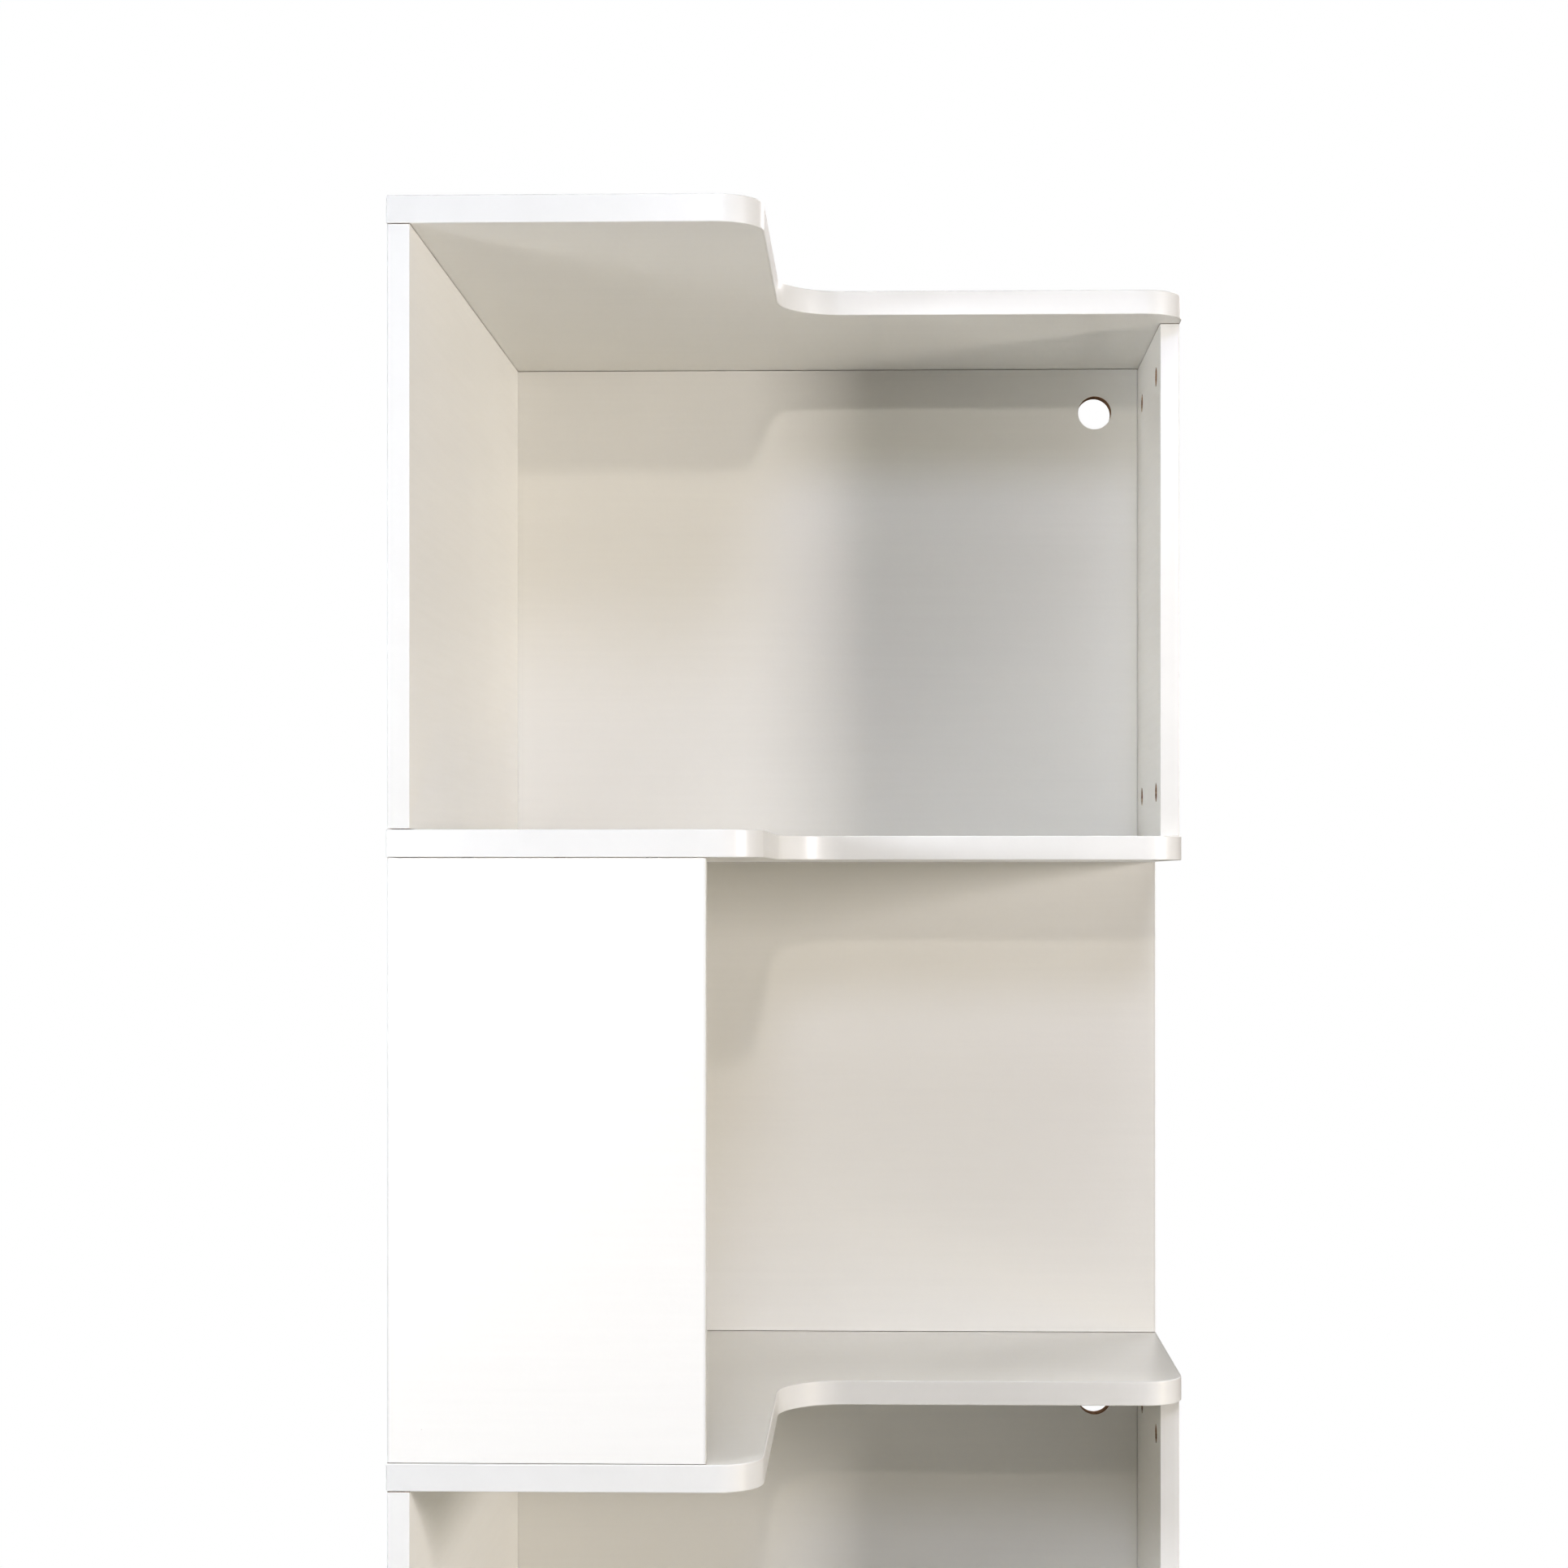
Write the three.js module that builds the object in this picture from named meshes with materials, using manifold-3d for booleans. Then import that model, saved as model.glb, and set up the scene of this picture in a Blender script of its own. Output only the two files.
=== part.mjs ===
// An L-shaped corner bookcase of melamine-faced boards, in millimetres, +Z up.
// The origin is the centre of its square footprint, on the floor. +Y points at the back wall, -X at the
// left wall, and the corner that faces the room, at +X and -Y, is cut out of every shelf.
import * as THREE from 'three';
import { mergeVertices } from 'three/addons/utils/BufferGeometryUtils.js';
import Module from 'manifold-3d';

// Driving dimensions.
const FOOTPRINT = 450; // each side of the square that the shelves fill
const ARM_DEPTH = 200; // front to back of each arm of the L
const OUTER_CORNER_RADIUS = 25; // at the room-side corner of each arm's end
const INNER_CORNER_RADIUS = 40; // where the two arms meet
const SHELF_THICKNESS = 15;
const PANEL_THICKNESS = 12;
const PANEL_INSET = 0.5; // how far the uprights stand back from the shelves' edges
const TIER_COUNT = 5;
const TIER_HEIGHT = 322; // clear height between two shelves
const END_PANEL_SETBACK = 30; // from the room-side edge of the arm to the end panel

const CABLE_HOLE_DIAMETER = 22.5;
const CABLE_HOLE_DROP = 30; // from the shelf above to the hole's centre
const CABLE_HOLE_INSET = 29.5; // from the end panel's inner face to the hole's centre

const CAM_POCKET_DIAMETER = 12.4;
const CAM_POCKET_DEPTH = 9.8;
const CAM_DRUM_DIAMETER = 11.8;
const CAM_RECESS = 1.2; // from the panel's face down to the drum
const CAM_END_DISTANCE = 28.5; // from the panel's upper or lower end to the cam's centre
const CAM_ROOM_INSET = 29; // from the end panel's room-side edge
const CAM_WALL_INSET = 30; // from the wall panel that the end panel closes
const WALL_PANEL_CAM_INSET = 75; // from a wall panel's side edges

const CROSS_LENGTH = 6.6; // the screwdriver recess in a drum's face
const CROSS_WIDTH = 1.5;
const CROSS_DEPTH = 2.6;

const ROD_DIAMETER = 6; // both the connecting bolts and the dowels
const BORE_DIAMETER = 6.8; // the holes that hold them
const BOLT_DEPTH_IN_SHELF = 10.5;
const COLLAR_DIAMETER = 6.4; // on a bolt, where it meets the shelf
const COLLAR_LENGTH = 1.6;
const DOWEL_LENGTH = 30;
const FIT_GAP = 0.3;

const GLIDE_HEIGHT = 4;
const GLIDE_DIAMETER = 18;
const GLIDE_CHAMFER = 1.5;
const GLIDE_EDGE_INSET = 25; // from the shelf's edges to the glide's centre
const NAIL_DIAMETER = 2.5;
const NAIL_LENGTH = 10;
const NAIL_HOLE_DIAMETER = 3.4;

// Facets of the round shapes.
const CORNER_STEPS = 12;
const CABLE_HOLE_SIDES = 32;
const CAM_SIDES = 24;
const ROD_SIDES = 12;
const GLIDE_SIDES = 24;

// Places that follow from them.
const HALF = FOOTPRINT / 2;
const ARM_EDGE = HALF - ARM_DEPTH; // the right arm's front edge in Y, and minus the left arm's right edge in X
const OUTER_FACE = HALF - PANEL_INSET;
const INNER_FACE = OUTER_FACE - PANEL_THICKNESS;
const PANEL_MIDDLE = OUTER_FACE - PANEL_THICKNESS / 2;
const END_PANEL_EDGE = ARM_EDGE + END_PANEL_SETBACK;
const CAM_ROOM = END_PANEL_EDGE + CAM_ROOM_INSET;
const CAM_WALL = INNER_FACE - CAM_WALL_INSET;
const DOWEL_PLACE = (CAM_ROOM + CAM_WALL) / 2;
const TIER_PITCH = SHELF_THICKNESS + TIER_HEIGHT;
const ROD_HOLE_DEPTH = BOLT_DEPTH_IN_SHELF + FIT_GAP;

const wasm = await Module();
wasm.setup();

// Materials.
function boardMaterial() {
  return new THREE.MeshStandardMaterial({ color: 0xf1efe9, roughness: 0.45, metalness: 0 });
}

function zincMaterial() {
  return new THREE.MeshStandardMaterial({ color: 0x8d8b86, roughness: 0.4, metalness: 1 });
}

function beechMaterial() {
  return new THREE.MeshStandardMaterial({ color: 0xcfae7f, roughness: 0.8, metalness: 0 });
}

function glideMaterial() {
  return new THREE.MeshStandardMaterial({ color: 0xe6e4de, roughness: 0.5, metalness: 0 });
}

// Booleans.
function solidOf(geometry) {
  const bare = geometry.clone();
  bare.deleteAttribute('normal');
  bare.deleteAttribute('uv');
  const merged = mergeVertices(bare, 1e-3);
  return new wasm.Manifold(new wasm.Mesh({
    numProp: 3,
    vertProperties: merged.getAttribute('position').array,
    triVerts: new Uint32Array(merged.index.array),
  }));
}

function geometryOf(solid) {
  const { vertProperties, triVerts } = solid.getMesh();
  const geometry = new THREE.BufferGeometry();
  geometry.setAttribute('position', new THREE.BufferAttribute(vertProperties, 3));
  geometry.setIndex(new THREE.BufferAttribute(triVerts, 1));
  geometry.computeVertexNormals();
  return geometry;
}

function cut(geometry, cutters) {
  const solid = cutters.reduce((left, cutter) => left.subtract(solidOf(cutter)), solidOf(geometry));
  return geometryOf(solid);
}

function joined(geometries) {
  const [first, ...others] = geometries.map(solidOf);
  return geometryOf(others.reduce((left, other) => left.add(other), first));
}

// A box between two corners.
function box(low, high) {
  const size = low.map((value, axis) => high[axis] - value);
  const centre = low.map((value, axis) => (high[axis] + value) / 2);
  return new THREE.BoxGeometry(...size).translate(...centre);
}

// Cylinders along each axis, from one coordinate to another. Their other two coordinates are their centre.
function rodAlongX(diameter, sides, from, to, y, z) {
  const rod = new THREE.CylinderGeometry(diameter / 2, diameter / 2, to - from, sides);
  return rod.rotateZ(Math.PI / 2).translate((from + to) / 2, y, z);
}

function rodAlongY(diameter, sides, from, to, x, z) {
  const rod = new THREE.CylinderGeometry(diameter / 2, diameter / 2, to - from, sides);
  return rod.translate(x, (from + to) / 2, z);
}

function rodAlongZ(diameter, sides, from, to, x, y) {
  const rod = new THREE.CylinderGeometry(diameter / 2, diameter / 2, to - from, sides);
  return rod.rotateX(Math.PI / 2).translate(x, y, (from + to) / 2);
}

// Points on an arc, both ends included.
function arc(centreX, centreY, radius, startDegrees, endDegrees) {
  return Array.from({ length: CORNER_STEPS + 1 }, (_, step) => {
    const degrees = startDegrees + ((endDegrees - startDegrees) * step) / CORNER_STEPS;
    const angle = THREE.MathUtils.degToRad(degrees);
    return new THREE.Vector2(
      centreX + radius * Math.cos(angle),
      centreY + radius * Math.sin(angle),
    );
  });
}

// The L seen from above, anticlockwise from its front left corner.
function shelfOutline() {
  const outer = OUTER_CORNER_RADIUS;
  const inner = INNER_CORNER_RADIUS;
  return new THREE.Shape([
    new THREE.Vector2(-HALF, -HALF),
    ...arc(-ARM_EDGE - outer, -HALF + outer, outer, -90, 0),
    ...arc(-ARM_EDGE + inner, ARM_EDGE - inner, inner, 180, 90),
    ...arc(HALF - outer, ARM_EDGE + outer, outer, -90, 0),
    new THREE.Vector2(HALF, HALF),
    new THREE.Vector2(-HALF, HALF),
  ]);
}

// Where the rods of one end panel stand, seen from above: on the right wall side of an odd tier, and
// mirrored in the diagonal to the front of an even one.
function rodPlaces(tier) {
  const places = [CAM_ROOM, DOWEL_PLACE, CAM_WALL].map((along) => [PANEL_MIDDLE, along]);
  return tier % 2 === 1 ? places : places.map(([x, y]) => [-y, -x]);
}

// Where the glides stand under the bottom shelf.
function glidePlaces() {
  const outside = HALF - GLIDE_EDGE_INSET;
  const step = ARM_EDGE + GLIDE_EDGE_INSET;
  return [
    [-outside, -outside],
    [-step, -outside],
    [-step, step],
    [outside, step],
    [outside, outside],
    [-outside, outside],
  ];
}

// A shelf with its underside at z = 0. tierAbove and tierBelow are the tiers whose rods enter it.
function shelfGeometry(tierAbove, tierBelow) {
  const board = new THREE.ExtrudeGeometry(shelfOutline(), {
    depth: SHELF_THICKNESS,
    bevelEnabled: false,
  });
  const top = SHELF_THICKNESS;
  const cutters = [];
  if (tierAbove) {
    rodPlaces(tierAbove).forEach(([x, y]) => {
      cutters.push(rodAlongZ(BORE_DIAMETER, ROD_SIDES, top - ROD_HOLE_DEPTH, top + 1, x, y));
    });
  }
  if (tierBelow) {
    rodPlaces(tierBelow).forEach(([x, y]) => {
      cutters.push(rodAlongZ(BORE_DIAMETER, ROD_SIDES, -1, ROD_HOLE_DEPTH, x, y));
    });
  } else {
    glidePlaces().forEach(([x, y]) => {
      cutters.push(rodAlongZ(NAIL_HOLE_DIAMETER, ROD_SIDES, -1, NAIL_LENGTH + FIT_GAP, x, y));
    });
  }
  return cut(board, cutters);
}

// The pieces of a tier, as they stand on an odd one, with z = 0 on the shelf below. Even tiers mirror them.

// The heights of the cams and the direction of their bolts.
const CAM_ROWS = {
  lower: { height: CAM_END_DISTANCE, towards: -1 },
  upper: { height: TIER_HEIGHT - CAM_END_DISTANCE, towards: 1 },
};
const CAM_COLUMNS = { room: CAM_ROOM, wall: CAM_WALL };

// A rod's two ends: one at a distance inside the panel's lower or upper end, one inside the shelf there.
function rodEnds(towards, inPanel, inShelf) {
  return towards < 0 ? [-inShelf, inPanel] : [TIER_HEIGHT - inPanel, TIER_HEIGHT + inShelf];
}

// The closed arm's end, with four cam pockets on its inner face and the bores of its bolts and dowels.
function endPanelGeometry() {
  const board = box([INNER_FACE, END_PANEL_EDGE, 0], [OUTER_FACE, OUTER_FACE, TIER_HEIGHT]);
  const cutters = [];
  Object.values(CAM_ROWS).forEach(({ height, towards }) => {
    const boltBore = rodEnds(towards, CAM_END_DISTANCE, 1);
    const dowelBore = rodEnds(towards, DOWEL_LENGTH - BOLT_DEPTH_IN_SHELF + FIT_GAP, 1);
    Object.values(CAM_COLUMNS).forEach((along) => {
      const bottom = INNER_FACE + CAM_POCKET_DEPTH;
      cutters.push(rodAlongX(CAM_POCKET_DIAMETER, CAM_SIDES, INNER_FACE - 1, bottom, along, height));
      cutters.push(rodAlongZ(BORE_DIAMETER, ROD_SIDES, ...boltBore, PANEL_MIDDLE, along));
    });
    cutters.push(rodAlongZ(BORE_DIAMETER, ROD_SIDES, ...dowelBore, PANEL_MIDDLE, DOWEL_PLACE));
  });
  return cut(board, cutters);
}

// The wall panel next to the end panel, with the cable hole, and cam pockets on its wall side.
function wallPanelWithHoleGeometry() {
  const board = box([-OUTER_FACE, INNER_FACE, 0], [INNER_FACE, OUTER_FACE, TIER_HEIGHT]);
  const cableX = INNER_FACE - CABLE_HOLE_INSET;
  const cableZ = TIER_HEIGHT - CABLE_HOLE_DROP;
  const cutters = [
    rodAlongY(CABLE_HOLE_DIAMETER, CABLE_HOLE_SIDES, INNER_FACE - 1, OUTER_FACE + 1, cableX, cableZ),
  ];
  const bottom = OUTER_FACE - CAM_POCKET_DEPTH;
  Object.values(CAM_ROWS).forEach(({ height }) => {
    [-OUTER_FACE + WALL_PANEL_CAM_INSET, INNER_FACE - WALL_PANEL_CAM_INSET].forEach((x) => {
      cutters.push(rodAlongY(CAM_POCKET_DIAMETER, CAM_SIDES, bottom, OUTER_FACE + 1, x, height));
    });
  });
  return cut(board, cutters);
}

// The wall panel of the open arm, with cam pockets on its wall side.
function wallPanelGeometry() {
  const board = box([-OUTER_FACE, -OUTER_FACE, 0], [-INNER_FACE, INNER_FACE, TIER_HEIGHT]);
  const cutters = [];
  const bottom = -OUTER_FACE + CAM_POCKET_DEPTH;
  Object.values(CAM_ROWS).forEach(({ height }) => {
    [-OUTER_FACE + WALL_PANEL_CAM_INSET, INNER_FACE - WALL_PANEL_CAM_INSET].forEach((y) => {
      cutters.push(rodAlongX(CAM_POCKET_DIAMETER, CAM_SIDES, -OUTER_FACE - 1, bottom, y, height));
    });
  });
  return cut(board, cutters);
}

// The two bars of the cross in a drum's face.
function crossCutters(face, along, height) {
  const long = CROSS_LENGTH / 2;
  const narrow = CROSS_WIDTH / 2;
  return [[long, narrow], [narrow, long]].map(([sideways, upwards]) => box(
    [face - 1, along - sideways, height - upwards],
    [face + CROSS_DEPTH, along + sideways, height + upwards],
  ));
}

// A cam drum locked on its connecting bolt.
function camFittingGeometry({ height, towards }, along) {
  const face = INNER_FACE + CAM_RECESS;
  const bottom = INNER_FACE + CAM_POCKET_DEPTH - FIT_GAP;
  const boltEnds = rodEnds(towards, CAM_END_DISTANCE, BOLT_DEPTH_IN_SHELF);
  const collarEnds = rodEnds(towards, COLLAR_LENGTH, 0);
  const fitting = joined([
    rodAlongX(CAM_DRUM_DIAMETER, CAM_SIDES, face, bottom, along, height),
    rodAlongZ(ROD_DIAMETER, ROD_SIDES, ...boltEnds, PANEL_MIDDLE, along),
    rodAlongZ(COLLAR_DIAMETER, ROD_SIDES, ...collarEnds, PANEL_MIDDLE, along),
  ]);
  return cut(fitting, crossCutters(face, along, height));
}

function dowelGeometry({ towards }) {
  const ends = rodEnds(towards, DOWEL_LENGTH - BOLT_DEPTH_IN_SHELF, BOLT_DEPTH_IN_SHELF);
  return rodAlongZ(ROD_DIAMETER, ROD_SIDES, ...ends, PANEL_MIDDLE, DOWEL_PLACE);
}

// A nail-on glide: a chamfered disc with its nail, standing on z = 0.
function glideGeometry() {
  const radius = GLIDE_DIAMETER / 2;
  const nailRadius = NAIL_DIAMETER / 2;
  const profile = [
    new THREE.Vector2(0, 0),
    new THREE.Vector2(radius - GLIDE_CHAMFER, 0),
    new THREE.Vector2(radius, GLIDE_CHAMFER),
    new THREE.Vector2(radius, GLIDE_HEIGHT),
    new THREE.Vector2(nailRadius, GLIDE_HEIGHT),
    new THREE.Vector2(nailRadius, GLIDE_HEIGHT + NAIL_LENGTH),
    new THREE.Vector2(0, GLIDE_HEIGHT + NAIL_LENGTH),
  ];
  return new THREE.LatheGeometry(profile, GLIDE_SIDES).rotateX(Math.PI / 2);
}

// Assembly.
function piece(name, geometry, material) {
  const mesh = new THREE.Mesh(geometry, material);
  mesh.name = name;
  return mesh;
}

const SHELF_NAMES = ['bottom_shelf', 'shelf_2', 'shelf_3', 'shelf_4', 'shelf_5', 'top_shelf'];

// The shelf at a level from 0, which has tier level + 1 on it and tier level under it.
function shelf(level) {
  const tierAbove = level < TIER_COUNT ? level + 1 : 0;
  const mesh = piece(SHELF_NAMES[level], shelfGeometry(tierAbove, level), boardMaterial());
  mesh.position.z = GLIDE_HEIGHT + level * TIER_PITCH;
  return mesh;
}

// Swaps the two arms of the L, and with them the left wall and the back wall.
function mirrorInDiagonal(group, height) {
  group.matrixAutoUpdate = false;
  group.matrix.set(0, -1, 0, 0, -1, 0, 0, 0, 0, 0, 1, height, 0, 0, 0, 1);
}

function tierOf(tier) {
  const group = new THREE.Group();
  const isOdd = tier % 2 === 1;
  const holedWall = isOdd ? 'back_panel' : 'left_panel';
  const plainWall = isOdd ? 'left_panel' : 'back_panel';
  group.add(piece(`${plainWall}_${tier}`, wallPanelGeometry(), boardMaterial()));
  group.add(piece(`${holedWall}_${tier}`, wallPanelWithHoleGeometry(), boardMaterial()));
  group.add(piece(`end_panel_${tier}`, endPanelGeometry(), boardMaterial()));
  Object.entries(CAM_ROWS).forEach(([rowName, row]) => {
    Object.entries(CAM_COLUMNS).forEach(([columnName, along]) => {
      const name = `cam_fitting_${tier}_${rowName}_${columnName}`;
      group.add(piece(name, camFittingGeometry(row, along), zincMaterial()));
    });
    group.add(piece(`dowel_${tier}_${rowName}`, dowelGeometry(row), beechMaterial()));
  });
  const height = GLIDE_HEIGHT + SHELF_THICKNESS + (tier - 1) * TIER_PITCH;
  if (isOdd) {
    group.position.z = height;
  } else {
    mirrorInDiagonal(group, height);
  }
  return group;
}

function glides() {
  const group = new THREE.Group();
  glidePlaces().forEach(([x, y], index) => {
    const mesh = piece(`floor_glide_${index + 1}`, glideGeometry(), glideMaterial());
    mesh.position.set(x, y, 0);
    group.add(mesh);
  });
  return group;
}

const bookcase = new THREE.Group();
SHELF_NAMES.forEach((_, level) => bookcase.add(shelf(level)));
for (let tier = 1; tier <= TIER_COUNT; tier += 1) {
  bookcase.add(tierOf(tier));
}
bookcase.add(glides());

export default bookcase;
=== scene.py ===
"""Looks of the L-shaped corner bookcase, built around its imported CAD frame. Metres, +Z up."""

import math

import bpy
from mathutils import Matrix, Vector
from mathutils.geometry import tessellate_polygon


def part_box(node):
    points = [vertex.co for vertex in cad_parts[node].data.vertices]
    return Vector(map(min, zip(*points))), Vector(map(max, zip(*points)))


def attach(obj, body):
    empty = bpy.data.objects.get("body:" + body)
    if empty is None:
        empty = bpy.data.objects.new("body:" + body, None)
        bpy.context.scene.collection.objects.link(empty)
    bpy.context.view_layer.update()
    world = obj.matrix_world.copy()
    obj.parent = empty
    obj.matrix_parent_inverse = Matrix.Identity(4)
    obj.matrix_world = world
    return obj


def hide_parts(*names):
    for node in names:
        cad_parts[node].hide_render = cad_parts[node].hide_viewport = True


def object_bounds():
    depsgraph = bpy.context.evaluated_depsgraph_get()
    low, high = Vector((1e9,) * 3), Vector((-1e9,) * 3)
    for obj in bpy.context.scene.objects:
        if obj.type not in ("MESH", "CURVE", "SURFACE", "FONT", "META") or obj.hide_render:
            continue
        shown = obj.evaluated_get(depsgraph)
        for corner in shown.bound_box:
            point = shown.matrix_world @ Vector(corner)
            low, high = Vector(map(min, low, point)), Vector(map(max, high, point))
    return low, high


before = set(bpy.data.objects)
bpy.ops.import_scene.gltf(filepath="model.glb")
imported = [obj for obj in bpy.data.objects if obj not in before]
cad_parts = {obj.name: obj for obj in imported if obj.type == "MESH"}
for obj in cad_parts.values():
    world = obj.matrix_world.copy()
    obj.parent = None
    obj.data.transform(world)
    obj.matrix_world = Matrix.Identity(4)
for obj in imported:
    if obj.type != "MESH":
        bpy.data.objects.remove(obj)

BODY = "root"
cad_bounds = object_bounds()

MM = 0.001

# The boards, as they are made.
ARM_DEPTH = 200 * MM
OUTER_CORNER_RADIUS = 25 * MM
INNER_CORNER_RADIUS = 40 * MM
SQUARE_CORNER_RADIUS = 0.6 * MM
PANEL_CORNER_RADIUS = 0.2 * MM
SHELF_ROUNDING = 0.7 * MM
PANEL_ROUNDING = 0.5 * MM
END_ROUNDING_SHARE = 0.12  # the uprights' sawn ends are nearly sharp
SEAM_GAP = 0.25 * MM  # between an upright's sawn end and its shelf
BAND_THICKNESS = 1.0 * MM
GLUE_LINE = 0.07 * MM
HOLE_LIP = 0.25 * MM  # the white facing that shows around a drilled hole
FINE_ARC_STEPS = 28
CORNER_STEPS = 3
ROUNDING_STEPS = 4
HOLDING_RING = 1.15  # where a side turns flat, in roundings from the face

# The holes.
CABLE_HOLE_RADIUS = 11.25 * MM
CABLE_HOLE_INSET = 29.5 * MM
CABLE_HOLE_DROP = 30 * MM
CABLE_HOLE_STEPS = 96
POCKET_RADIUS = 6.2 * MM
POCKET_DEPTH = 9.8 * MM
POCKET_STEPS = 48
WALL_CAM_INSET = 75 * MM
CAM_END_DISTANCE = 28.5 * MM
BORE_RADIUS = 3.4 * MM
BORE_STEPS = 24
BORE_CLEARANCE = 0.3 * MM  # past the end of the rod in it
NAIL_HOLE_RADIUS = 1.7 * MM
NAIL_HOLE_STEPS = 16

# The cam fittings.
DRUM_RADIUS = 5.9 * MM
DRUM_RECESS = 1.2 * MM
DRUM_HEIGHT = 8.3 * MM
DRUM_ROUNDING = 0.35 * MM
DRUM_STEPS = 48
CROSS_REACH = 3.3 * MM
CROSS_HALF_WIDTH = 0.75 * MM
CROSS_DEPTH = 2.6 * MM
ARROW_TIP = 5.2 * MM
ARROW_FOOT = 4.1 * MM
ARROW_HALF_WIDTH = 0.9 * MM
ARROW_DEPTH = 0.35 * MM
MOULDED_LIP = 0.12 * MM
BOLT_NECK_RADIUS = 2.2 * MM
BOLT_NECK_LENGTH = 3 * MM
BOLT_SHOULDER = 0.5 * MM
BOLT_SHAFT_RADIUS = 2.7 * MM
BOLT_COLLAR_RADIUS = 3.25 * MM
BOLT_COLLAR_HEIGHT = 1.6 * MM
THREAD_PITCH = 1.5 * MM
THREAD_ROOT_RADIUS = 2.2 * MM
THREAD_CREST_RADIUS = 2.95 * MM
TURNED_STEPS = 32

# The dowels and the glides.
DOWEL_RADIUS = 3 * MM
DOWEL_CHAMFER = 0.8 * MM
DOWEL_STEPS = 84
FLUTES = 14
FLUTE_DEPTH = 0.25 * MM
GLIDE_RADIUS = 9 * MM
GLIDE_HEIGHT = 4 * MM
GLIDE_ROUNDING = 1.5 * MM
GLIDE_WELL_RADIUS = 3.2 * MM
GLIDE_WELL_DEPTH = 1.0 * MM
NAIL_RADIUS = 1.25 * MM
NAIL_HEAD_RADIUS = 2.6 * MM
NAIL_HEAD_HEIGHT = 0.6 * MM
NAIL_POINT_SHARE = 0.2  # of the shank's radius

SHELVES = ["bottom_shelf", "shelf_2", "shelf_3", "shelf_4", "shelf_5", "top_shelf"]
TIERS = range(1, 6)
ROWS = ("lower", "upper")
COLUMNS = ("room", "wall")

# Axis numbers of a board's plane and thickness, named by the axis of its thickness.
PLANES = {"z": (0, 1, 2), "x": (1, 2, 0), "y": (2, 0, 1)}


def is_odd(tier):
    return tier % 2 == 1


# ---------------------------------------------------------------- outlines


def arc(centre, radius, start, end, steps):
    """Points on an arc, from one angle in degrees to another, both ends included."""
    angles = [math.radians(start + (end - start) * k / steps) for k in range(steps + 1)]
    return [Vector((centre[0] + radius * math.cos(a), centre[1] + radius * math.sin(a))) for a in angles]


def circle(centre, radius, steps):
    return arc(centre, radius, 0, 360, steps)[:-1]


def rectangle(low, high, radius):
    """An anticlockwise rectangle with small round corners."""
    corners = [
        ((high[0] - radius, low[1] + radius), -90),
        ((high[0] - radius, high[1] - radius), 0),
        ((low[0] + radius, high[1] - radius), 90),
        ((low[0] + radius, low[1] + radius), 180),
    ]
    loop = []
    for centre, start in corners:
        loop += arc(centre, radius, start, start + 90, CORNER_STEPS)
    return loop


def shelf_outline(low, high, distance):
    """The L, anticlockwise from its front left corner, moved inwards by a distance."""
    square = SQUARE_CORNER_RADIUS * SQUARE_CORNER_RADIUS / (SQUARE_CORNER_RADIUS + distance)
    outer = OUTER_CORNER_RADIUS - distance
    inner = INNER_CORNER_RADIUS + distance
    left, right = low[0] + distance, high[0] - distance
    front, back = low[1] + distance, high[1] - distance
    arm_right = low[0] + ARM_DEPTH - distance
    arm_front = high[1] - ARM_DEPTH + distance
    loop = arc((left + square, front + square), square, 180, 270, CORNER_STEPS)
    loop += arc((arm_right - outer, front + outer), outer, -90, 0, FINE_ARC_STEPS)
    loop += arc((arm_right + inner, arm_front - inner), inner, 180, 90, FINE_ARC_STEPS)
    loop += arc((right - outer, arm_front + outer), outer, -90, 0, FINE_ARC_STEPS)
    loop += arc((right - square, back - square), square, 0, 90, CORNER_STEPS)
    loop += arc((left + square, back - square), square, 90, 180, CORNER_STEPS)
    return loop


def grown(loop, distance):
    """A loop moved outwards by a distance, with mitred corners."""
    moved = []
    for i, point in enumerate(loop):
        before = (point - loop[i - 1]).normalized()
        after = (loop[(i + 1) % len(loop)] - point).normalized()
        normals = Vector((before.y, -before.x)), Vector((after.y, -after.x))
        moved.append(point + (normals[0] + normals[1]) * (distance / (1 + normals[0].dot(normals[1]))))
    return moved


# ---------------------------------------------------------------- meshes

FACE, BAND, CORE, GLUE_SLOT = 0, 1, 2, 3  # material slots of a board
STEEL_SLOT = 1  # of a glide
SHARP_ANGLE = math.radians(50)
FLAT_FACE = 0.9999  # how nearly a board's flat face looks along its thickness


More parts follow.
